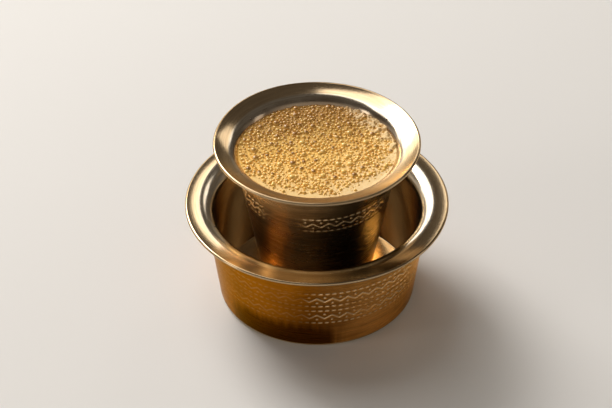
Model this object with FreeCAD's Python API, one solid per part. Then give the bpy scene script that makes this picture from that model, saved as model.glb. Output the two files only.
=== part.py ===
import FreeCAD
import Part
import math
import os

# Filter coffee the South Indian way: a flared brass tumbler of frothy milk coffee that stands in
# its dabara, the wide lipped bowl that the coffee is cooled in.
#
# Millimetres, +Z up. The origin is the centre of the dabara's underside, which rests on the table.
# Both vessels are spun from sheet. A vessel is described by the middle of its sheet, as three runs:
# the floor, the leaning wall and the lip, with rounded corners between them and a bead at the rim.
# The lip and the lean are measured inwards from the rim: the wall meets the lip at the throat, one
# lip width inside the rim, and meets the floor a further lean inside that. The wall thickens towards
# the throat, on the inside, and turns into the lip there in a wider curve.

# Dabara
DABARA_SHEET = 1.1
DABARA_RIM_RADIUS = 51.75
DABARA_LIP_WIDTH = 7.95
DABARA_WALL_LEAN = 5.25
DABARA_THROAT_HEIGHT = 42.9
DABARA_LIP_DROP = 0.9
DABARA_BASE_ROUND = 1.35
DABARA_THROAT_ROUND = 2.3
DABARA_BEAD_RADIUS = 0.7
DABARA_NECK_THICKENING = 2.8
DABARA_NECK_ROUND = 6.0

# Tumbler; its heights are measured from its own underside
TUMBLER_SHEET = 1.1
TUMBLER_RIM_RADIUS = 40.0
TUMBLER_LIP_WIDTH = 8.3
TUMBLER_WALL_LEAN = 11.9
TUMBLER_THROAT_HEIGHT = 67.1
TUMBLER_LIP_RISE = 2.45
TUMBLER_BASE_ROUND = 1.3
TUMBLER_THROAT_ROUND = 3.5
TUMBLER_BEAD_RADIUS = 0.7
TUMBLER_NECK_THICKENING = 0.5
TUMBLER_NECK_ROUND = 6.4

# Drink
FROTH_BELOW_RIM = 5.3
FROTH_THICKNESS = 8.0
DRINK_CLEARANCE = 0.03
MENISCUS_RISE = 0.5
MENISCUS_WIDTH = 1.4

# Open bubbles in the froth, laid out on a sunflower spiral
BUBBLE_COUNT = 48
BUBBLE_SMALLEST = 0.6
BUBBLE_LARGEST = 1.25
BUBBLE_SPREAD = 0.86
BUBBLE_LIFT = 0.35
BUBBLE_SIZE_STEP = 0.755
GOLDEN_ANGLE = math.pi * (3 - math.sqrt(5))

AXIS_START = FreeCAD.Vector(0, 0, 0)
AXIS_UP = FreeCAD.Vector(0, 0, 1)


def at(radius, height):
    """A point of a profile, in the half plane that is turned about the axis."""
    return FreeCAD.Vector(radius, 0, height)


def left_of(start, end):
    """Unit vector to the left of a run from start to end, seen with +X right and +Z up."""
    run = end - start
    return FreeCAD.Vector(-run.z, 0, run.x).normalize()


def shifted(corners, distance):
    """The same path moved to its left by the distance, its corners mitred."""
    sides = [left_of(start, end) for start, end in zip(corners, corners[1:])]
    moved = [corners[0] + sides[0] * distance]
    for corner, before, after in zip(corners[1:], sides, sides[1:]):
        moved.append(corner + (before + after) * (distance / (1 + before.dot(after))))
    moved.append(corners[-1] + sides[-1] * distance)
    return moved


def rounded(corners, radii):
    """Edges along the path, with an arc of its own radius at each inner corner."""
    edges = []
    start = corners[0]
    for before, corner, after, radius in zip(corners, corners[1:], corners[2:], radii):
        back = (before - corner).normalize()
        ahead = (after - corner).normalize()
        half_angle = back.getAngle(ahead) / 2
        run = radius / math.tan(half_angle)
        sagitta = radius / math.sin(half_angle) - radius
        entry = corner + back * run
        leave = corner + ahead * run
        middle = corner + (back + ahead).normalize() * sagitta
        edges.append(Part.LineSegment(start, entry).toShape())
        edges.append(Part.Arc(entry, middle, leave).toShape())
        start = leave
    edges.append(Part.LineSegment(start, corners[-1]).toShape())
    return edges


def turned(edges):
    """The solid that a closed profile sweeps about the axis."""
    face = Part.Face(Part.Wire(Part.__sortEdges__(edges)))
    return face.revolve(AXIS_START, AXIS_UP, 360)


class Vessel:
    """A spun sheet vessel, from its mid-sheet path."""

    def __init__(self, bottom, sheet, rim_radius, lip_width, wall_lean, throat_height, lip_rise,
                 base_round, throat_round, bead_radius, neck_thickening, neck_round):
        self.sheet = sheet
        self.base_round = base_round
        self.throat_round = throat_round
        self.bead_radius = bead_radius
        self.neck_thickening = neck_thickening
        self.neck_round = neck_round
        centre = at(0, bottom + sheet / 2)
        throat = at(rim_radius - lip_width, bottom + throat_height)
        base = at(throat.x - wall_lean, centre.z)
        self.bead = at(rim_radius - bead_radius, throat.z + lip_rise)
        self.path = [centre, base, throat, self.bead]
        self.floor_top = bottom + sheet
        self.rim_top = self.bead.z + bead_radius

    def skin(self, side):
        """Edges of the sheet's skin at a signed distance from its middle: + is the inside."""
        corners = shifted(self.path, side)
        throat_round = self.throat_round + side
        if side > 0:
            lip_inwards = (corners[2] - corners[3]).normalize()
            corners[2] = corners[2] + lip_inwards * self.neck_thickening
            throat_round = self.neck_round + side - self.sheet / 2
        edges = rounded(corners, [self.base_round - side, throat_round])
        return corners, edges

    def solid(self):
        """The sheet with its rim bead, as one turned solid."""
        under, under_edges = self.skin(-self.sheet / 2)
        inner, inner_edges = self.skin(self.sheet / 2)
        ends = [Part.LineSegment(under[0], inner[0]).toShape(),
                Part.LineSegment(under[-1], inner[-1]).toShape()]
        sheet = turned(under_edges + inner_edges + ends)
        bead = Part.makeTorus(self.bead.x, self.bead_radius, at(0, self.bead.z), AXIS_UP)
        return sheet.fuse(bead).removeSplitter()

    def cavity(self, clearance):
        """The space inside, up to the rim, kept off the sheet by the clearance at the sides."""
        corners, edges = self.skin(self.sheet / 2 + clearance)
        lid = at(0, corners[-1].z)
        closing = [Part.LineSegment(corners[-1], lid).toShape(),
                   Part.LineSegment(lid, corners[0]).toShape()]
        return turned(edges + closing)


def band(radius, bottom, top):
    """A plain cylinder between two heights, used to cut a level layer."""
    return Part.makeCylinder(radius, top - bottom, at(0, bottom), AXIS_UP)


def froth_mould(radius, bottom, level):
    """Everything under the froth's surface, which curls up against the wall all round."""
    wall = at(radius, level + MENISCUS_RISE)
    inner = at(radius - MENISCUS_WIDTH, level)
    curl_radius = (MENISCUS_WIDTH ** 2 + MENISCUS_RISE ** 2) / (2 * MENISCUS_RISE)
    half_turn = math.atan(MENISCUS_RISE / MENISCUS_WIDTH)
    middle = inner + at(curl_radius * math.sin(half_turn), curl_radius * (1 - math.cos(half_turn)))
    outer = at(radius + MENISCUS_WIDTH, level + MENISCUS_RISE)
    low = at(radius + MENISCUS_WIDTH, bottom)
    points = [outer, low, at(0, bottom), at(0, level), inner]
    edges = [Part.LineSegment(start, end).toShape() for start, end in zip(points, points[1:])]
    edges.append(Part.Arc(inner, middle, wall).toShape())
    edges.append(Part.LineSegment(wall, outer).toShape())
    return turned(edges)


def open_bubbles(radius, level):
    """Spheres that bite shallow pits into the froth, more widely spaced than they are wide."""
    spheres = []
    for number in range(BUBBLE_COUNT):
        distance = radius * BUBBLE_SPREAD * math.sqrt((number + 0.5) / BUBBLE_COUNT)
        angle = number * GOLDEN_ANGLE
        share = number * BUBBLE_SIZE_STEP % 1
        size = BUBBLE_SMALLEST + (BUBBLE_LARGEST - BUBBLE_SMALLEST) * share ** 2
        centre = FreeCAD.Vector(distance * math.cos(angle), distance * math.sin(angle),
                                level + size * BUBBLE_LIFT)
        spheres.append(Part.makeSphere(size, centre))
    return spheres


dabara = Vessel(0, DABARA_SHEET, DABARA_RIM_RADIUS, DABARA_LIP_WIDTH, DABARA_WALL_LEAN,
                DABARA_THROAT_HEIGHT, -DABARA_LIP_DROP, DABARA_BASE_ROUND, DABARA_THROAT_ROUND,
                DABARA_BEAD_RADIUS, DABARA_NECK_THICKENING, DABARA_NECK_ROUND)
tumbler = Vessel(dabara.floor_top, TUMBLER_SHEET, TUMBLER_RIM_RADIUS, TUMBLER_LIP_WIDTH,
                 TUMBLER_WALL_LEAN, TUMBLER_THROAT_HEIGHT, TUMBLER_LIP_RISE, TUMBLER_BASE_ROUND,
                 TUMBLER_THROAT_ROUND, TUMBLER_BEAD_RADIUS, TUMBLER_NECK_THICKENING,
                 TUMBLER_NECK_ROUND)

froth_level = tumbler.rim_top - FROTH_BELOW_RIM
coffee_level = froth_level - FROTH_THICKNESS
cavity = tumbler.cavity(DRINK_CLEARANCE)
level_outline = cavity.slice(AXIS_UP, froth_level)[0]
surface_radius = level_outline.Length / (2 * math.pi)

coffee = cavity.common(band(TUMBLER_RIM_RADIUS, tumbler.floor_top, coffee_level))
froth = cavity.common(froth_mould(surface_radius, coffee_level, froth_level))
froth = froth.cut(open_bubbles(surface_radius, froth_level))

os.makedirs("parts", exist_ok=True)
nodes = {"dabara": dabara.solid(), "tumbler": tumbler.solid(), "coffee": coffee, "froth": froth}
for node, shape in nodes.items():
    shape.exportStep(f"parts/{node}.step")
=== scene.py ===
import math
from collections import namedtuple

import bmesh
import bpy
from mathutils import Matrix, Vector


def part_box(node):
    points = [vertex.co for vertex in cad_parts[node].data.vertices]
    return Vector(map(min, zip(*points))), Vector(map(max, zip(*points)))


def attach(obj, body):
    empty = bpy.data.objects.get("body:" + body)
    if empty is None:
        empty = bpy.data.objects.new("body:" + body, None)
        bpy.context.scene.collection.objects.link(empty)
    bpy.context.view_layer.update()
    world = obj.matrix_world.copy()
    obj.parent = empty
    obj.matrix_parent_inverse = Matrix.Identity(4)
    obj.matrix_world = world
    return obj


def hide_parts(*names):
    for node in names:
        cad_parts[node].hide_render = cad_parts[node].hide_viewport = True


# A tumbler of frothy filter coffee standing in its dabara. Both vessels are spun brass with a
# rolled band of stamped dashes, dots and zigzags; the froth is packed with domed bubbles of three
# sizes.
# Metres throughout, +Z up, with the dabara's underside at height 0.

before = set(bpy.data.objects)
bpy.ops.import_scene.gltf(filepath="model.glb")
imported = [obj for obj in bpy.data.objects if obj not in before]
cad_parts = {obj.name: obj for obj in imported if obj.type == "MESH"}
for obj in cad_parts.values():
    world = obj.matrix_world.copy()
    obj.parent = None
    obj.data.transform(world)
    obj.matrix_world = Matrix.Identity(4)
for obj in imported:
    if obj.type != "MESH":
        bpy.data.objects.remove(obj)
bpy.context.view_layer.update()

MM = 0.001
TURN = 2 * math.pi

# Spun vessels: the same runs as the solids have, measured inwards from the rim to mid-sheet
SHEET = 1.1 * MM
BEAD_RADIUS = 0.7 * MM
Vessel = namedtuple("Vessel", "node lip_width wall_lean throat_height lip_rise base_round throat_round "
                              "neck_thickening neck_round")
DABARA = Vessel("dabara", 7.95 * MM, 5.25 * MM, 42.9 * MM, -0.9 * MM, 1.35 * MM, 2.3 * MM,
                2.8 * MM, 6 * MM)
TUMBLER = Vessel("tumbler", 8.3 * MM, 11.9 * MM, 67.1 * MM, 2.45 * MM, 1.3 * MM, 3.5 * MM,
                 0.5 * MM, 6.4 * MM)

# Stamped bands: one motif is a zigzag with dots in its angles, between two rows of dashes
Band = namedtuple("Band", "centres dash_offset dash_count zigzag_count faint_side faint_reach")
DABARA_BAND = Band((26.55 * MM, 17.2 * MM), 3.35 * MM, 100, 44, math.radians(-150), math.radians(56))
TUMBLER_BAND = Band((53.05 * MM,), 3.1 * MM, 71, 31, math.radians(-118), math.radians(13))
DOT_OFFSET = 1.45 * MM
ZIGZAG_SWING = 1.0 * MM
DASH_LENGTH = 1.5 * MM
STROKE_HALF_WIDTH = 0.26 * MM
DOT_RADIUS = 0.38 * MM
STROKE_SOFTNESS = 0.2 * MM
STAMP_DEPTH = 0.22 * MM
BAND_MARGIN = 1.2 * MM

# How finely the vessels are meshed
ROW_HEIGHT = 0.32 * MM
PLAIN_ROW_HEIGHT = 6 * MM
ARC_STEPS = 7
BEAD_STEPS = 6
DABARA_COLUMNS = 780
TUMBLER_COLUMNS = 620
WELD_DISTANCE = 0.001 * MM

# Signs of hand work and use: the vessels are a little oval, their rims wave, and the bands are faint
# on one side
OUT_OF_ROUND = 0.0012
RIM_WAVE = 0.12 * MM
FAINT_BITE = 0.12
FAINT_EASE = math.radians(8)


# --- Node trees -------------------------------------------------------------------------------


class Socket:
    """A number output of a node. Arithmetic on it adds Math nodes to the same tree."""

    def __init__(self, graph, socket):
        self.graph = graph
        self.socket = socket

    def __add__(self, other):
        return self.graph.math("ADD", self, other)

    def __radd__(self, other):
        return self.graph.math("ADD", other, self)

    def __sub__(self, other):
        return self.graph.math("SUBTRACT", self, other)

    def __rsub__(self, other):
        return self.graph.math("SUBTRACT", other, self)

    def __mul__(self, other):
        return self.graph.math("MULTIPLY", self, other)

    def __rmul__(self, other):
        return self.graph.math("MULTIPLY", other, self)

    def __truediv__(self, other):
        return self.graph.math("DIVIDE", self, other)

    def __mod__(self, other):
        return self.graph.math("FLOORED_MODULO", self, other)

    def __neg__(self):
        return self.graph.math("MULTIPLY", self, -1)

    def __abs__(self):
        return self.graph.math("ABSOLUTE", self)


class Made:
    """A node that has been made. Indexing gives one of its outputs, by name or place."""

    def __init__(self, graph, node):
        self.graph = graph
        self.node = node

    def __getitem__(self, name):
        return Socket(self.graph, self.node.outputs[name])


class Graph:
    """One node tree, shader or geometry."""

    def __init__(self, tree):
        self.tree = tree

    def add(self, kind, settings=None, sockets=None):
        """A node of a type, with its settings made first and then its sockets' values or links."""
        node = self.tree.nodes.new(kind)
        for name, value in (settings or {}).items():
            setattr(node, name, value)
        for name, value in (sockets or {}).items():
            if isinstance(value, Socket):
                self.tree.links.new(value.socket, node.inputs[name])
            else:
                node.inputs[name].default_value = value
        return Made(self, node)

    def math(self, operation, *values):
        sockets = dict(enumerate(values))
        return self.add("ShaderNodeMath", {"operation": operation}, sockets)[0]

    def smooth(self, value, low, high, start=0.0, end=1.0):
        """Eases from start to end as the value goes from low to high."""
        settings = {"interpolation_type": "SMOOTHSTEP"}
        sockets = {"Value": value, "From Min": low, "From Max": high, "To Min": start, "To Max": end}
        return self.add("ShaderNodeMapRange", settings, sockets)["Result"]

    def length(self, x, y):
        return self.math("SQRT", x * x + y * y)

    def vector(self, x, y, z):
        return self.add("ShaderNodeCombineXYZ", None, {"X": x, "Y": y, "Z": z})["Vector"]

    def parts(self, vector):
        """The X, Y and Z of a vector."""
        split = self.add("ShaderNodeSeparateXYZ", None, {"Vector": vector})
        return split["X"], split["Y"], split["Z"]

    def mix(self, factor, first, second):
        """A blend of two colours."""
        mixed = self.add("ShaderNodeMix", {"data_type": "RGBA"}, {0: factor, 6: first, 7: second})
        return mixed[2]


class Modelling(Graph):
    """A geometry tree, whose inputs are named and set on one modifier."""

    def __init__(self, name, inputs):
        tree = bpy.data.node_groups.new(name, "GeometryNodeTree")
        super().__init__(tree)
        tree.interface.new_socket("Geometry", in_out="INPUT", socket_type="NodeSocketGeometry")
        tree.interface.new_socket("Geometry", in_out="OUTPUT", socket_type="NodeSocketGeometry")
        self.values = inputs
        for label, value in inputs.items():
            kind = "NodeSocketInt" if isinstance(value, int) else "NodeSocketFloat"
            tree.interface.new_socket(label, in_out="INPUT", socket_type=kind)
        self.given = self.add("NodeGroupInput")

    def store(self, geometry, name, value, domain="POINT"):
        settings = {"data_type": "FLOAT", "domain": domain}
        sockets = {"Geometry": geometry, "Name": name, "Value": value}
        return self.add("GeometryNodeStoreNamedAttribute", settings, sockets)["Geometry"]

    def attribute(self, name):
        return self.add("GeometryNodeInputNamedAttribute", {"data_type": "FLOAT"}, {"Name": name})[0]

    def finish(self, geometry, material):
        """Ends the tree: smooth faces, instances made real, and the material."""
        real = self.add("GeometryNodeRealizeInstances", None, {"Geometry": geometry})["Geometry"]
        smooth = self.add("GeometryNodeSetShadeSmooth", None, {"Geometry": real})["Geometry"]
        made = self.add("GeometryNodeSetMaterial", None, {"Geometry": smooth})
        made.node.inputs["Material"].default_value = material
        self.add("NodeGroupOutput", None, {"Geometry": made["Geometry"]})

    def run(self, name, mesh):
        """The mesh that the tree makes from a starting mesh, as a plain piece."""
        piece = add_object(name, mesh)
        modifier = piece.modifiers.new("shape", "NODES")
        modifier.node_group = self.tree
        for item in self.tree.interface.items_tree:
            if item.name in self.values:
                modifier[item.identifier] = self.values[item.name]
        graph = bpy.context.evaluated_depsgraph_get()
        result = bpy.data.meshes.new_from_object(piece.evaluated_get(graph))
        piece.modifiers.remove(modifier)
        piece.data = result
        return piece


def add_object(name, data):
    piece = bpy.data.objects.new(name, data)
    bpy.context.scene.collection.objects.link(piece)
    return piece


def new_material(name):
    """An empty material and the graph of its nodes."""
    material = bpy.data.materials.new(name)
    material.use_nodes = True
    material.node_tree.nodes.clear()
    return material, Graph(material.node_tree)


def surface(graph, constants, colour, roughness=None, normal=None):
    """The shader that ends a material."""
    sockets = dict(constants)
    sockets["Base Color"] = colour
    if roughness is not None:
        sockets["Roughness"] = roughness
    if normal is not None:
        sockets["Normal"] = normal
    shader = graph.add("ShaderNodeBsdfPrincipled", None, sockets)
    graph.add("ShaderNodeOutputMaterial", None, {"Surface": shader["BSDF"]})


def noise(g, at, scale, detail=2.0):
    return g.add("ShaderNodeTexNoise", None, {"Vector": at, "Scale": scale, "Detail": detail})["Fac"]


# --- Finishes ---------------------------------------------------------------------------------


def rgb(red, green, blue):
    return (red, green, blue, 1.0)


LIP_BRASS = rgb(0.70, 0.53, 0.33)
INNER_BRASS = rgb(0.87, 0.79, 0.66)
# Lip tarnish, also used as the painted shade on the front of the cup's lip
LIP_TARNISH_AND_SHADE = rgb(0.36, 0.25, 0.14)
# Bright cut brass in the scratches, also the painted highlight on the stamped marks
CUT_BRASS_AND_GLINT = rgb(0.90, 0.68, 0.40)
DRIED_COFFEE = rgb(0.26, 0.15, 0.07)
# The third field is the outer wall's colour on one side, painted light on the dabara and painted shade on
# the tumbler; the fifth is the colour of a painted dark reflection low on the outer wall
Finish = namedtuple("Finish", "rim wall worn tarnish stain coffee_marks")
# The dabara's outer wall colour is tarnished brass deepened by a painted dark reflection
DABARA_FINISH = Finish(51.75 * MM, rgb(0.37, 0.125, 0.005), rgb(0.98, 0.50, 0.14), rgb(0.21, 0.070, 0.004),
                       rgb(0.060, 0.012, 0.001), 0)
# The last field is 1 for the cup: it turns on its coffee marks, the painted shade on its front lip and its
# rougher front
TUMBLER_FINISH = Finish(40 * MM, rgb(0.76, 0.50, 0.24), rgb(0.10, 0.08, 0.05), rgb(0.16, 0.10, 0.04),
                        rgb(0.12, 0.05, 0.014), 1)
EDGE_TINT = rgb(0.92, 0.74, 0.48)
# The side of the outer wall that carries the painted dark reflection
DARK_REFLECTION_SIDE = math.radians(-112)
# The side of the outer wall that is painted lighter on the dabara and darker on the tumbler
PAINTED_SIDE_ANGLE = math.radians(-25)
# Heights where the painted dark reflection is full and where it has faded out
DARK_REFLECTION_FULL, DARK_REFLECTION_TOP = 3 * MM, 21 * MM
COFFEE_MARKS_BOTTOM, COFFEE_MARKS_TOP = 66.5 * MM, 69.5 * MM
COFFEE_MARKS_WANDER = 4 * MM

# Grain of the spun brass: how fast each kind changes round the axis (arcs), and how fine its rings
# are beside the brush lines (fineness)
BRUSH_LINES_PER_MM = 1.9
BRUSH_ARCS, BRUSH_FINENESS = 2.2, 1.0
BAND_ARCS, BAND_FINENESS = 1.3, 0.22
SCRATCH_ARCS, SCRATCH_FINENESS = 5.0, 0.5
STREAKS_ROUND, STREAKS_UP = 14, 16
TARNISH_CLOUD_SCALE = 70.0
WEAR_AND_GLINT_CLOUD_SCALE = 60.0
BRUSH_DEPTH = 0.12 * MM
RIM_WEAR_REACH = 1.3 * MM
RIM_WEAR_EDGE = 0.5 * MM
LEAST_ROUGHNESS = 0.10


def brushed_brass(name, finish):
    """Spun brass: fine rings left by the lathe, warm tarnish, bright cuts in the band that are partly a
    painted highlight, and painted light, shade and dark reflection on the outer walls and the cup's front
    lip.
    """
    material, g = new_material(name)
    place = g.add("ShaderNodeTexCoord")["Object"]
    x, y, z = g.parts(place)
    radius = g.length(x, y) + 1e-5
    cosine, sine = x / radius, y / radius
    ring = (radius + z) * (1000 * BRUSH_LINES_PER_MM)

    def grain(arcs, lines, detail):
        """Noise drawn out round the axis."""
        around = g.vector(cosine * arcs, sine * arcs, ring * lines)
        return g.add("ShaderNodeTexNoise", None,
                     {"Vector": around, "Scale": 1.0, "Detail": detail, "Roughness": 0.7})["Fac"]

    lines = grain(BRUSH_ARCS, BRUSH_FINENESS, 5.0)
    bands = grain(BAND_ARCS, BAND_FINENESS, 3.0)
    drawn_out = g.vector(cosine * STREAKS_ROUND, sine * STREAKS_ROUND, z * STREAKS_UP)
    streaks = noise(g, drawn_out, 1.0, 4.0)
    clouds = noise(g, place, TARNISH_CLOUD_SCALE, 5.0)
    # A cloud that varies how much the stamped marks are brightened, partly as wear and partly as painted
    # highlight
    wear_and_glint = g.smooth(noise(g, place, WEAR_AND_GLINT_CLOUD_SCALE), 0.35, 0.6)
    stamp = g.add("ShaderNodeAttribute", {"attribute_name": "stamp"})["Fac"]
    wall = g.add("ShaderNodeAttribute", {"attribute_name": "wall"})["Fac"]
    outer = g.math("MAXIMUM", wall, 0)
    inner = g.math("MAXIMUM", -wall, 0)
    # Painted light and shade on one side of the outer wall: lighter on the dabara, darker on the tumbler
    painted_side_share = g.smooth(cosine * math.cos(PAINTED_SIDE_ANGLE) + sine * math.sin(PAINTED_SIDE_ANGLE), 0.3, 0.85)
    outer_metal = g.mix(painted_side_share, finish.wall, finish.worn)
    metal = g.mix(outer, g.mix(inner, LIP_BRASS, INNER_BRASS), outer_metal)
    tarnish = g.mix(outer, LIP_TARNISH_AND_SHADE, finish.tarnish)
    dulled = g.mix(g.smooth(clouds * 0.5 + bands * 0.5, 0.42, 0.72) * (0.35 + outer * 0.3), metal, tarnish)
    # Painted dark reflection: the outer wall darkens in streaks low on its front-left
    dark_reflection_side = g.smooth(cosine * math.cos(DARK_REFLECTION_SIDE) + sine * math.sin(DARK_REFLECTION_SIDE), 0.72, 1.0)
    low_down = g.smooth(z, DARK_REFLECTION_TOP, DARK_REFLECTION_FULL)
    dark_reflection_share = g.smooth(streaks * 0.4 + low_down * (0.08 + dark_reflection_side * 0.5), 0.32, 0.62) * outer * 0.92
    reflection_darkened_metal = g.mix(dark_reflection_share, dulled, finish.stain)
    rim_edge = g.smooth(radius, finish.rim - RIM_WEAR_REACH, finish.rim - RIM_WEAR_EDGE) * 0.5
    # Painted shade on the front half of the cup's lip and inner surfaces
    front_lip_shade = g.smooth(-sine, 0.3, 0.95) * (1 - outer) * finish.coffee_marks * 0.75
    tarnished_and_shaded = g.mix(g.math("MAXIMUM", rim_edge, front_lip_shade), reflection_darkened_metal, LIP_TARNISH_AND_SHADE)
    lined = g.mix(g.smooth(lines, 0.36, 0.66) * 0.4, tarnished_and_shaded, tarnish)
    scratches = g.smooth(grain(SCRATCH_ARCS, SCRATCH_FINENESS, 3.0), 0.56, 0.72)
    scratch_colour = g.mix(inner, CUT_BRASS_AND_GLINT, LIP_TARNISH_AND_SHADE)
    scratch_share = scratches * (0.3 - outer * 0.22 + inner * 0.4) * (1 - dark_reflection_share)
    scratched = g.mix(scratch_share, lined, scratch_colour)
    wandering = z + (clouds - 0.5) * COFFEE_MARKS_WANDER
    below_line = g.smooth(wandering, COFFEE_MARKS_TOP, COFFEE_MARKS_BOTTOM) * (1 - outer)
    wetted = below_line * g.smooth(sine, -0.3, 0.7) * finish.coffee_marks
    marked = g.mix(wetted * 0.75, scratched, DRIED_COFFEE)
    # The stamped marks lean towards bright cut brass: partly worn metal, partly a painted highlight
    colour = g.mix(stamp * (0.35 + 0.65 * wear_and_glint), marked, CUT_BRASS_AND_GLINT)
    front = g.smooth(-sine, 0.1, 0.7) * (1 - outer) * finish.coffee_marks
    rough = LEAST_ROUGHNESS + lines * 0.08 + clouds * 0.04 + outer * 0.12 + front * 0.14
    bump = g.add("ShaderNodeBump", None,
                 {"Strength": 0.3, "Distance": BRUSH_DEPTH,
                  "Height": lines * (0.35 + outer * 0.65)})["Normal"]
    surface(g, {"Metallic": 1.0, "Anisotropic": 0.3, "Anisotropic Rotation": 0.25,
                "Specular Tint": EDGE_TINT}, colour, rough, bump)
    return material


FOAM = rgb(0.98, 0.62, 0.15)
PALE_FOAM = rgb(0.98, 0.77, 0.47)
THIN_FOAM = rgb(0.34, 0.17, 0.035)
# Amber used as painted shade in the creases of the foam
SHADE_AMBER = rgb(0.84, 0.44, 0.06)
DARK_AMBER = rgb(0.46, 0.21, 0.025)
DEEP_AMBER = rgb(0.34, 0.14, 0.015)
FILM_GLINT = rgb(1.0, 0.88, 0.68)
FOAM_GRAIN_SCALE = 2300.0
FOAM_GRAIN_DEPTH = 0.1 * MM
DARK_DRINK = rgb(0.20, 0.085, 0.025)
MILKY_DRINK = rgb(0.34, 0.16, 0.055)
DRINK_SWIRL_SCALE = 60.0


def foam(name):
    """Fine coffee froth: golden, paler where it is stiff, with painted amber shade in the creases between
    its grains and bubbles.
    """
    material, g = new_material(name)
    place = g.add("ShaderNodeTexCoord")["Object"]
    gap = g.add("ShaderNodeAttribute", {"attribute_name": "gap"})["Fac"]
    pale = g.add("ShaderNodeAttribute", {"attribute_name": "pale"})["Fac"]
    grain = g.add("ShaderNodeTexVoronoi", {"feature": "F1"},
                  {"Vector": place, "Scale": FOAM_GRAIN_SCALE})["Distance"]
    thin = g.add("ShaderNodeAttribute", {"attribute_name": "thin"})["Fac"]
    body = g.mix(pale, g.mix(thin, FOAM, THIN_FOAM), PALE_FOAM)
    # Painted shade: amber in the creases between the foam's grains and between its domes
    grain_shaded = g.mix(g.smooth(grain, 0.45, 0.85) * 0.25, body, SHADE_AMBER)
    colour = g.mix(gap, grain_shaded, SHADE_AMBER)
    bump = g.add("ShaderNodeBump", None,
                 {"Strength": 0.12, "Distance": FOAM_GRAIN_DEPTH, "Height": 1 - grain})["Normal"]
    surface(g, {"Roughness": 0.5, "Specular IOR Level": 0.25}, colour, None, bump)
    return material


def bubble_film(name, core_colour, plain_share):
    """A soft film in the foam's colour; the thinner ones show the dark drink through their crown."""
    material, g = new_material(name)
    crown = g.add("ShaderNodeAttribute", {"attribute_name": "crown"})["Fac"]
    tone = g.add("ShaderNodeAttribute", {"attribute_name": "tone"})["Fac"]
    thin = g.add("ShaderNodeAttribute", {"attribute_name": "thin"})["Fac"]
    film = g.mix(tone * 0.15 + thin * 0.5, FOAM, THIN_FOAM)
    clear = g.smooth(tone * 0.7 + thin * 0.5, plain_share, plain_share + 0.2)
    colour = g.mix(g.smooth(crown, 0.45, 0.85) * clear, film, core_colour)
    surface(g, {"Roughness": 0.3, "IOR": 1.9, "Specular Tint": FILM_GLINT}, colour)
    return material


def milk_coffee(name):
    """The drink itself, with a little cream swirled through it."""
    material, g = new_material(name)
    place = g.add("ShaderNodeTexCoord")["Object"]
    swirl = g.add("ShaderNodeTexNoise", None,
                  {"Vector": place, "Scale": DRINK_SWIRL_SCALE, "Detail": 3.0, "Distortion": 1.5})["Fac"]
    colour = g.mix(swirl, DARK_DRINK, MILKY_DRINK)
    surface(g, {"Coat Weight": 0.5}, colour, 0.1 + swirl * 0.1)
    return material


# --- Spun vessels -----------------------------------------------------------------------------


def left_of(start, end):
    run = (end - start).normalized()
    return Vector((-run.y, run.x))


def shifted(corners, distance):
    """The same path moved to its left, its corners mitred."""
    sides = [left_of(start, end) for start, end in zip(corners, corners[1:])]
    moved = [corners[0] + sides[0] * distance]
    for corner, before, after in zip(corners[1:], sides, sides[1:]):
        moved.append(corner + (before + after) * (distance / (1 + before.dot(after))))
    moved.append(corners[-1] + sides[-1] * distance)
    return moved


def arc(centre, start, end, steps):
    """Points from start to end round a centre, the short way."""
    first = start - centre
    turn = first.angle_signed(end - centre)
    points = []
    for step in range(steps + 1):
        angle = -turn * step / steps
        cosine, sine = math.cos(angle), math.sin(angle)
        points.append(centre + Vector((first.x * cosine - first.y * sine,
                                       first.x * sine + first.y * cosine)))
    return points


def run_heights(start, end, fine_spans):
    """Shares along a run: fine steps where it crosses a stamped band, coarse ones elsewhere."""
    length = (end - start).length
    stops = {0.0, 1.0}
    rise = end.y - start.y
    for low, high in fine_spans:
        stops.update(min(1.0, max(0.0, (height - start.y) / rise)) for height in (low, high))
    shares = [0.0]
    for low, high in zip(sorted(stops), sorted(stops)[1:]):
        middle = start.y + rise * (low + high) / 2
        fine = any(span[0] < middle < span[1] for span in fine_spans)
        step = ROW_HEIGHT if fine else PLAIN_ROW_HEIGHT
        count = max(1, math.ceil((high - low) * length / step))
        shares += [low + (high - low) * (n + 1) / count for n in range(count)]
    return shares


def skin(corners, radii, fine_spans):
    """Points of one side of the sheet, rounded at its corners, each with 1 if it is on the wall."""
    points = []
    start = corners[0]
    for place, radius in enumerate(radii, 1):
        before, corner, after = corners[place - 1:place + 2]
        back = (before - corner).normalized()
        ahead = (after - corner).normalized()
        half_angle = back.angle(ahead) / 2
        run = radius / math.tan(half_angle)
        centre = corner + (back + ahead).normalized() * (radius / math.sin(half_angle))
        entry, leave = corner + back * run, corner + ahead * run
        on_wall = int(place == 2)
        spans = fine_spans if on_wall else []
        points += [(start.lerp(entry, share), on_wall) for share in run_heights(start, entry, spans)]
        points += [(point, on_wall) for point in arc(centre, entry, leave, ARC_STEPS)[1:-1]]
        start = leave
    points += [(start.lerp(corners[-1], share), 0) for share in run_heights(start, corners[-1], [])]
    return points


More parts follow.
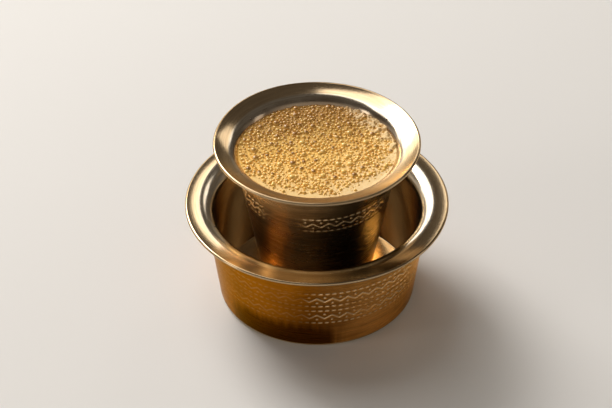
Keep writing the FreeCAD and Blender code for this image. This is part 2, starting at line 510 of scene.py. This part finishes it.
def profile_mesh(vessel, band):
    """The vessel's closed section from axis to axis, as loose points in order, outer skin first."""
    low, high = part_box(vessel.node)
    bottom, rim_radius = low.z, high.x
    throat = Vector((rim_radius - vessel.lip_width, bottom + vessel.throat_height))
    centre = Vector((0, bottom + SHEET / 2))
    base = Vector((throat.x - vessel.wall_lean, centre.y))
    bead = Vector((rim_radius - BEAD_RADIUS, throat.y + vessel.lip_rise))
    path = [centre, base, throat, bead]
    reach = band.dash_offset + BAND_MARGIN
    spans = [(middle - reach, middle + reach) for middle in band.centres]
    half = SHEET / 2
    tuck = math.sqrt(BEAD_RADIUS ** 2 - half ** 2)
    outward = (bead - throat).normalized()
    under_corners, inner_corners = shifted(path, -half), shifted(path, half)
    under_corners[-1] -= outward * tuck
    inner_corners[-1] -= outward * tuck
    inner_corners[2] += (inner_corners[2] - inner_corners[3]).normalized() * vessel.neck_thickening
    under = skin(under_corners, [vessel.base_round + half, vessel.throat_round - half], spans)
    inner = skin(inner_corners, [vessel.base_round - half, vessel.neck_round], [])
    tip = bead + outward * BEAD_RADIUS
    roll = arc(bead, under[-1][0], tip, BEAD_STEPS) + arc(bead, tip, inner[-1][0], BEAD_STEPS)[1:]
    points = under[:-1] + [(point, 0) for point in roll] + [(p, -on_wall) for p, on_wall in inner[-2::-1]]
    mesh = bpy.data.meshes.new(vessel.node + "_section")
    mesh.from_pydata([(point.x, 0, point.y) for point, _ in points], [], [])
    wall = mesh.attributes.new("wall", "FLOAT", "POINT")
    wall.data.foreach_set("value", [float(on_wall) for _, on_wall in points])
    return mesh


def stamped_marks(g, turn, height, wall_radius, band):
    """How deep the roller has bitten at a place on the wall, from 0 to 1."""
    half, soft = STROKE_HALF_WIDTH, STROKE_SOFTNESS
    dash_pitch = TURN * wall_radius / band.dash_count
    period = TURN * wall_radius / band.zigzag_count
    dash_along = abs((turn * band.dash_count) % 1 - 0.5) * dash_pitch
    dash_end = g.math("MAXIMUM", dash_along - (DASH_LENGTH / 2 - half), 0)
    phase = (turn * band.zigzag_count) % 1
    swing = abs(phase - 0.5) * 4 - 1
    lean = math.cos(math.atan(4 * ZIGZAG_SWING / period))
    valley = abs(phase - 0.5) * period
    peak = (0.5 - abs(phase - 0.5)) * period
    marks = 0
    for centre in band.centres:
        rise = height - centre
        dash = g.length(dash_end, abs(rise) - band.dash_offset)
        zigzag = abs(rise - swing * ZIGZAG_SWING) * lean
        dot_above = g.length(valley, rise - DOT_OFFSET)
        dot_below = g.length(peak, rise + DOT_OFFSET)
        for distance, reach in ((dash, half), (zigzag, half * 0.9),
                                (dot_above, DOT_RADIUS), (dot_below, DOT_RADIUS)):
            marks = g.math("MAXIMUM", marks, g.smooth(distance, reach - soft / 2, reach + soft, 1.0, 0.0))
    return marks


def spun_vessel(vessel, band, columns, material):
    """Turns the section about the axis and rolls the stamped band into the outer wall."""
    section = profile_mesh(vessel, band)
    g = Modelling(vessel.node + "_spun", {
        "Columns": columns, "Rows": len(section.vertices), "Stamp Depth": STAMP_DEPTH,
        "Out Of Round": OUT_OF_ROUND, "Rim Wave": RIM_WAVE})
    rim_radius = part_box(vessel.node)[1].x
    columns_in, rows_in = g.given["Columns"], g.given["Rows"]
    grid = g.add("GeometryNodeMeshGrid", None,
                 {"Vertices X": columns_in + 1, "Vertices Y": rows_in})["Mesh"]
    index = g.add("GeometryNodeInputIndex")["Index"]
    column = g.math("FLOOR", (index + 0.5) / rows_in)
    row = index - column * rows_in
    turn = column / columns_in

    def from_section(kind, value):
        sockets = {"Geometry": g.given["Geometry"], "Value": value, "Index": row}
        return g.add("GeometryNodeSampleIndex", {"data_type": kind}, sockets)[0]

    radius, _, height = g.parts(from_section("FLOAT_VECTOR", g.add("GeometryNodeInputPosition")[0]))
    wall = from_section("FLOAT", g.attribute("wall"))
    wall_radius = rim_radius - vessel.lip_width - vessel.wall_lean / 2
    angle = turn * TURN
    bite = g.smooth(g.math("COSINE", angle - band.faint_side), math.cos(band.faint_reach - FAINT_EASE),
                    math.cos(band.faint_reach + FAINT_EASE), FAINT_BITE, 1.0)
    outer_wall = g.math("MAXIMUM", wall, 0)
    marks = stamped_marks(g, turn, height, wall_radius, band) * outer_wall * bite
    oval = 1 + g.given["Out Of Round"] * g.math("SINE", angle * 2 + 0.7)
    near_rim = g.smooth(radius, rim_radius - vessel.lip_width, rim_radius)
    wave = g.math("SINE", angle * 3 + 1.1) + g.math("SINE", angle * 5 + 2.4) * 0.6
    lifted = height + near_rim * wave * g.given["Rim Wave"]
    pressed = (radius - marks * g.given["Stamp Depth"]) * oval
    place = g.vector(pressed * g.math("COSINE", angle), pressed * g.math("SINE", angle), lifted)
    shape = g.add("GeometryNodeSetPosition", None, {"Geometry": grid, "Position": place})["Geometry"]
    shape = g.store(g.store(shape, "stamp", marks), "wall", wall)
    welded = g.add("GeometryNodeMergeByDistance", None, {"Geometry": shape, "Distance": WELD_DISTANCE})
    g.finish(welded["Geometry"], material)
    piece = g.run(vessel.node + "_brass", section)
    return face_outwards(piece)


def face_outwards(piece):
    """Turns every face outwards if the closed shape has come out inside out."""
    mesh = piece.data
    volume = 0.0
    mesh.calc_loop_triangles()
    for triangle in mesh.loop_triangles:
        a, b, c = (mesh.vertices[v].co for v in triangle.vertices)
        volume += a.dot(b.cross(c))
    if volume < 0:
        mesh.flip_normals()
    return piece


# --- Drink ------------------------------------------------------------------------------------

FROTH_RINGS = 168
FROTH_EDGE_TUCK = 0.15 * MM
FROTH_EDGE_BELOW_TOP = 0.5 * MM
FROTH_EDGE_CLIMB_WIDTH = 1.4 * MM
FROTH_EDGE_CLIMB = 0.5 * MM
FROTH_SWELL = 0.3 * MM
DOME_CELLS_PER_METRE = 900.0
DOME_HEIGHT_SHARE = 0.04
STIFF_FOAM_SIDE = math.radians(32)
STIFF_FOAM_FROM, STIFF_FOAM_FULL = 22 * MM, 27 * MM
STIFF_FOAM_WANDER = 5 * MM
STIFF_LUMP_HEIGHT = 1.0 * MM
COARSE_MIDDLE = (-1 * MM, 5 * MM)
THIN_FROM, THIN_FULL = -7 * MM, 25 * MM
BUBBLE_WAVE = 0.6 * MM
BUBBLE_HEIGHT_SHARE = 0.9
BUBBLE_SIZE_BIAS = 1.5
BUBBLE_AREA_SIDES = 96
Bubbles = namedtuple("Bubbles", "name spacing smallest largest sides seed sink coarse_only")
LARGE_BUBBLES = Bubbles("large_bubbles", 4.3 * MM, 0.85 * MM, 1.5 * MM, 20, 3, 0.5, 0.6)
SMALL_BUBBLES = Bubbles("small_bubbles", 1.28 * MM, 0.52 * MM, 0.92 * MM, 12, 5, 0.5, 0.45)
PIN_BUBBLES = Bubbles("pin_bubbles", 1.0 * MM, 0.2 * MM, 0.42 * MM, 8, 9, 0.3, 0.05)


def circle(reach, height, count):
    """Points spread evenly round the axis."""
    return [(reach * math.cos(TURN * n / count), reach * math.sin(TURN * n / count), height)
            for n in range(count)]


def froth_disc(radius, level, foot_radius, bottom):
    """A closed disc of even triangles: ring n holds 6 n points, with a skirt and a flat base."""
    verts, faces, starts = [(0.0, 0.0, level)], [], [0]
    for ring in range(1, FROTH_RINGS + 1):
        starts.append(len(verts))
        verts += circle(radius * ring / FROTH_RINGS, level, 6 * ring)
        inner, outer = max(1, 6 * (ring - 1)), 6 * ring
        for sector in range(6):
            for step in range(ring):
                here, below = sector * ring + step, sector * (ring - 1) + step
                near = starts[ring] + here
                far = starts[ring] + (here + 1) % outer
                middle = starts[ring - 1] + below % inner
                faces.append((near, far, middle))
                if step < ring - 1:
                    faces.append((far, starts[ring - 1] + (below + 1) % inner, middle))
    count = 6 * FROTH_RINGS
    rim, foot = starts[-1], len(verts)
    verts += circle(foot_radius, bottom, count)
    for step in range(count):
        ahead = (step + 1) % count
        faces.append((rim + step, foot + step, foot + ahead, rim + ahead))
    faces.append(tuple(range(foot + count - 1, foot - 1, -1)))
    mesh = bpy.data.meshes.new("froth_disc")
    mesh.from_pydata(verts, [], faces)
    top = mesh.attributes.new("top", "FLOAT", "POINT")
    top.data.foreach_set("value", [float(n < foot) for n in range(len(verts))])
    return mesh


def bubbly(g, x, y, radius):
    """How coarse the froth is: coarse in the middle and at the back, fine round the front edge."""
    flat = g.vector(x, y, 0.0)
    off_centre = g.length(x - COARSE_MIDDLE[0], y - COARSE_MIDDLE[1]) / radius
    return g.smooth(off_centre + (noise(g, flat, 120.0) - 0.5) * 0.5, 1.12, 0.78)


def thinness(g, x, y):
    """How dark and watery the froth is: most at the back and the left."""
    return g.smooth(y * 0.9 - x * 0.15, THIN_FROM, THIN_FULL)


def froth_piece(material):
    """The froth: soft swells, packed domes, and a few stiff pale lumps at one side."""
    low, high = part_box("froth")
    level = high.z - FROTH_EDGE_BELOW_TOP
    radius = high.x + FROTH_EDGE_TUCK
    foot_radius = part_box("coffee")[1].x + FROTH_EDGE_TUCK
    g = Modelling("froth_surface", {"Swell": FROTH_SWELL, "Lump Height": STIFF_LUMP_HEIGHT,
                                    "Dome Cells": DOME_CELLS_PER_METRE})
    x, y, _ = g.parts(g.add("GeometryNodeInputPosition")[0])
    flat = g.vector(x, y, 0.0)
    top = g.attribute("top")
    reach = g.length(x, y)
    swell = (noise(g, flat, 110.0) - 0.5) * 2 * g.given["Swell"]
    towards_stiff = x * math.cos(STIFF_FOAM_SIDE) + y * math.sin(STIFF_FOAM_SIDE)
    wander = (noise(g, flat, 300.0, 3.0) - 0.5) * STIFF_FOAM_WANDER
    stiff = g.smooth(towards_stiff + wander, STIFF_FOAM_FROM, STIFF_FOAM_FULL)
    lumps = stiff * g.smooth(noise(g, flat, 430.0, 1.0), 0.4, 0.62) * g.given["Lump Height"]
    edge = g.smooth(reach, radius - FROTH_EDGE_CLIMB_WIDTH, radius)
    climb = edge * noise(g, flat, 260.0) * FROTH_EDGE_CLIMB
    coarse = bubbly(g, x, y, radius)
    cells = g.add("ShaderNodeTexVoronoi", {"feature": "F1"},
                  {"Vector": flat, "Scale": g.given["Dome Cells"], "Randomness": 0.8})
    size_pick, _, _ = g.parts(cells["Color"])
    size = 0.42 + 0.2 * size_pick
    outwards = cells["Distance"] / size
    inside = g.math("MAXIMUM", 1 - outwards * outwards, 0)
    dome = inside * size / g.given["Dome Cells"]
    # Painted shade between the domes, stronger where the froth is coarse
    gap = g.smooth(inside, 0.2, 0.0) * (0.02 + coarse * 0.08)
    rise = (swell + lumps + climb + dome * DOME_HEIGHT_SHARE) * top
    shape = g.add("GeometryNodeSetPosition", None,
                  {"Geometry": g.given["Geometry"], "Offset": g.vector(0.0, 0.0, rise)})["Geometry"]
    shape = g.store(shape, "gap", gap * (1 - stiff))
    shape = g.store(shape, "thin", thinness(g, x, y))
    front_pale = g.smooth(-y, 0, radius) * 0.5
    right_pale = g.smooth(x * 0.7 - y * 0.7, -2 * MM, radius) * 0.7
    pale = g.math("MAXIMUM", g.math("MAXIMUM", stiff * 0.6, front_pale), right_pale)
    shape = g.store(shape, "pale", pale)
    g.finish(shape, material)
    return face_outwards(g.run("froth_surface", froth_disc(radius, level, foot_radius, low.z)))


def bubbles(kind, material):
    """Closed balls scattered over the froth, sunk so far that their domes show."""
    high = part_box("froth")[1]
    level = high.z - FROTH_EDGE_BELOW_TOP
    g = Modelling(kind.name, {"Spacing": kind.spacing, "Smallest": kind.smallest,
                              "Largest": kind.largest, "Seed": kind.seed,
                              "Sink": kind.sink, "Coarse Only": kind.coarse_only})
    points = g.add("GeometryNodeDistributePointsOnFaces", {"distribute_method": "POISSON"},
                   {"Mesh": g.given["Geometry"], "Distance Min": g.given["Spacing"],
                    "Density Max": 4.0 / kind.spacing ** 2, "Seed": g.given["Seed"]})["Points"]
    x, y, _ = g.parts(g.add("GeometryNodeInputPosition")[0])
    coarse = bubbly(g, x, y, high.x)
    chance = g.add("FunctionNodeRandomValue", {"data_type": "FLOAT"}, {"Seed": g.given["Seed"] + 3})[1]
    unwanted = g.add("FunctionNodeCompare", {"data_type": "FLOAT", "operation": "LESS_THAN"},
                     {"A": coarse, "B": chance * g.given["Coarse Only"]})["Result"]
    points = g.add("GeometryNodeDeleteGeometry", {"domain": "POINT"},
                   {"Geometry": points, "Selection": unwanted})["Geometry"]
    ball = g.add("GeometryNodeMeshUVSphere", None,
                 {"Segments": kind.sides, "Rings": kind.sides * 3 // 4, "Radius": 1.0})["Mesh"]
    _, _, up = g.parts(g.add("GeometryNodeInputPosition")[0])
    ball = g.store(ball, "crown", up)
    pick = g.add("FunctionNodeRandomValue", {"data_type": "FLOAT"}, {"Seed": g.given["Seed"]})[1]
    share = g.math("POWER", pick, BUBBLE_SIZE_BIAS)
    size = g.given["Smallest"] + (g.given["Largest"] - g.given["Smallest"]) * share
    scattered = g.add("GeometryNodeInstanceOnPoints", None,
                      {"Points": points, "Instance": ball,
                       "Scale": g.vector(size, size, size * BUBBLE_HEIGHT_SHARE)})["Instances"]
    tone = g.add("FunctionNodeRandomValue", {"data_type": "FLOAT"}, {"Seed": g.given["Seed"] + 7})[1]
    scattered = g.store(scattered, "tone", tone, "INSTANCE")
    scattered = g.store(scattered, "thin", thinness(g, x, y), "INSTANCE")
    wave = (noise(g, g.vector(x, y, 0.0), 110.0) - 0.5) * BUBBLE_WAVE
    sunk = g.add("GeometryNodeTranslateInstances", None,
                 {"Instances": scattered,
                  "Translation": g.vector(0.0, 0.0, wave - size * g.given["Sink"])})[0]
    g.finish(sunk, material)
    reach = high.x - kind.largest
    mesh = bpy.data.meshes.new(kind.name + "_area")
    mesh.from_pydata(circle(reach, level, BUBBLE_AREA_SIDES), [], [tuple(range(BUBBLE_AREA_SIDES))])
    return g.run(kind.name, mesh)


Crumb = namedtuple("Crumb", "x y radius")
CRUMBS = [Crumb(27.4 * MM, 17.5 * MM, 0.4 * MM), Crumb(-25.9 * MM, 18.6 * MM, 0.4 * MM),
          Crumb(-39.5 * MM, -16.3 * MM, 0.35 * MM)]
CRUMB_SQUASH = Matrix.Diagonal((1.2, 1.0, 0.7, 1.0))
ROASTED, ROASTED_PALE = rgb(0.02, 0.009, 0.004), rgb(0.09, 0.045, 0.02)


def ground_coffee(name):
    material, g = new_material(name)
    place = g.add("ShaderNodeTexCoord")["Object"]
    colour = g.mix(noise(g, place, 3000.0), ROASTED, ROASTED_PALE)
    surface(g, {"Roughness": 0.7}, colour)
    return material


def crumbs(name, vessels, material):
    """Tiny crumbs of ground coffee, stuck where they landed on the brass."""
    bpy.context.view_layer.update()
    shape = bmesh.new()
    for crumb in CRUMBS:
        above = Vector((crumb.x, crumb.y, 2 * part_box("tumbler")[1].z))
        landings = [vessel.ray_cast(above, Vector((0, 0, -1))) for vessel in vessels]
        highest = max((spot for found, spot, _, _ in landings if found), key=lambda spot: spot.z)
        bmesh.ops.create_icosphere(shape, subdivisions=2, radius=crumb.radius,
                                   matrix=Matrix.Translation(highest) @ CRUMB_SQUASH)
    mesh = bpy.data.meshes.new(name)
    shape.to_mesh(mesh)
    shape.free()
    mesh.materials.append(material)
    return add_object(name, mesh)


# --- Studio -----------------------------------------------------------------------------------

FLOOR_HALF_WIDTH = 1.5
VIEW_DISTANCE = 0.8
VIEW_ELEVATION = math.radians(38.48)
VIEW_TARGET = Vector((0, 0, 0.035))
LENS = 119.0
SHIFT_ACROSS, SHIFT_UP = -0.0178, 0.0170
NEAREST_SEEN = 0.01
FLOOR_PALE, FLOOR_PALER = rgb(0.76, 0.745, 0.725), rgb(0.79, 0.775, 0.755)
ROOM_LEFT, ROOM_RIGHT = rgb(0.44, 0.40, 0.345), rgb(0.26, 0.23, 0.19)
ROOM_FRONT, ROOM_DIM = rgb(0.50, 0.47, 0.42), rgb(0.09, 0.077, 0.063)
DAYLIGHT, WARM_LIGHT, WARMER_LIGHT = (1.0, 0.97, 0.93), (1.0, 0.95, 0.88), (1.0, 0.94, 0.86)


def studio_floor():
    """A plain pale floor."""
    material, g = new_material("pale_floor")
    place = g.add("ShaderNodeTexCoord")["Object"]
    mottle = g.add("ShaderNodeTexNoise", None, {"Vector": place, "Scale": 3.0})["Fac"]
    colour = g.mix(mottle, FLOOR_PALE, FLOOR_PALER)
    surface(g, {"Roughness": 0.8, "Specular IOR Level": 0.2}, colour)
    mesh = bpy.data.meshes.new("floor")
    half = FLOOR_HALF_WIDTH
    mesh.from_pydata([(-half, -half, 0), (half, -half, 0), (half, half, 0), (-half, half, 0)],
                     [], [(0, 1, 2, 3)])
    mesh.materials.append(material)
    add_object("floor", mesh)


def soft_world():
    """Soft room light: paler low down and to the left, dim overhead and behind to the right."""
    world = bpy.data.worlds.new("studio")
    world.use_nodes = True
    world.node_tree.nodes.clear()
    bpy.context.scene.world = world
    g = Graph(world.node_tree)
    across, deep, up = g.parts(g.add("ShaderNodeTexCoord")["Generated"])
    sides = g.mix(g.smooth(across, -0.3, 0.25), ROOM_LEFT, ROOM_RIGHT)
    behind = g.mix(g.smooth(up, 0.2, 0.42), sides, ROOM_DIM)
    front = g.smooth(deep, -0.2, -0.7) * g.smooth(up, 0.72, 0.45)
    room = g.mix(front, behind, ROOM_FRONT)
    shade = g.smooth(across, 0.22, 0.42) * g.smooth(deep, 0.2, 0.5) * g.smooth(up, -0.1, 0.1)
    colour = g.mix(shade, room, ROOM_DIM)
    light = g.add("ShaderNodeBackground", None, {"Color": colour, "Strength": 1.0})
    g.add("ShaderNodeOutputWorld", None, {"Surface": light["Background"]})


def softbox(name, place, aim, width, height, brightness, colour):
    """A rectangular soft light, as bright all over as its brightness says."""
    light = bpy.data.lights.new(name, "AREA")
    light.shape = "RECTANGLE"
    light.size = width
    light.size_y = height
    light.energy = brightness * math.pi * width * height
    light.color = colour
    lamp = add_object(name, light)
    lamp.location = place
    lamp.rotation_euler = (Vector(aim) - Vector(place)).to_track_quat("-Z", "Y").to_euler()


def product_camera():
    data = bpy.data.cameras.new("view")
    data.lens = LENS
    data.shift_x = SHIFT_ACROSS
    data.shift_y = SHIFT_UP
    data.clip_start = NEAREST_SEEN
    camera = add_object("view", data)
    back = Vector((0, -math.cos(VIEW_ELEVATION), math.sin(VIEW_ELEVATION)))
    camera.location = VIEW_TARGET + back * VIEW_DISTANCE
    camera.rotation_euler = (-back).to_track_quat("-Z", "Y").to_euler()
    bpy.context.scene.camera = camera


product_camera()
studio_floor()
soft_world()
softbox("window_top", (-1.02, 0.82, 1.87), (-1.02, 0.0, 0.95), 1.96, 1.3, 2.2, DAYLIGHT)
softbox("window_low", (-1.10, 1.62, 1.08), (-1.10, 0.0, 0.0), 1.96, 1.0, 2.2, DAYLIGHT)
softbox("window_core", (-0.88, 1.16, 1.26), VIEW_TARGET, 0.8, 0.8, 12, DAYLIGHT)
softbox("back_right_card", (0.75, 1.53, 1.15), VIEW_TARGET, 0.55, 0.5, 1.5, WARM_LIGHT)
softbox("left_strip", (-1.24, -0.44, 0.4), VIEW_TARGET, 0.28, 0.8, 2.4, WARM_LIGHT)
softbox("right_strip", (1.2, -0.1, 0.32), VIEW_TARGET, 0.3, 0.6, 0.9, WARMER_LIGHT)
bpy.context.scene.view_settings.view_transform = "Standard"

dabara_brass = brushed_brass("dabara_brass", DABARA_FINISH)
tumbler_brass = brushed_brass("tumbler_brass", TUMBLER_FINISH)
froth_foam = foam("froth_foam")
large_film = bubble_film("large_bubble_film", DEEP_AMBER, 0.28)
small_film = bubble_film("small_bubble_film", DARK_AMBER, 0.58)

bowl = spun_vessel(DABARA, DABARA_BAND, DABARA_COLUMNS, dabara_brass)
cup = spun_vessel(TUMBLER, TUMBLER_BAND, TUMBLER_COLUMNS, tumbler_brass)
pieces = [
    (bowl, "dabara", "dabara_brass"),
    (cup, "tumbler", "tumbler_brass"),
    (froth_piece(froth_foam), "froth", "froth"),
    (bubbles(LARGE_BUBBLES, large_film), "froth", "froth"),
    (bubbles(SMALL_BUBBLES, small_film), "froth", "froth"),
    (bubbles(PIN_BUBBLES, small_film), "froth", "froth"),
]
for piece, node, slot in pieces:
    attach(piece, "root")
    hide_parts(node)
dirt = crumbs("crumbs", [bowl, cup], ground_coffee("ground_coffee"))
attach(dirt, "root")

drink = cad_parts["coffee"]
drink.data.materials.clear()
drink.data.materials.append(milk_coffee("milk_coffee"))
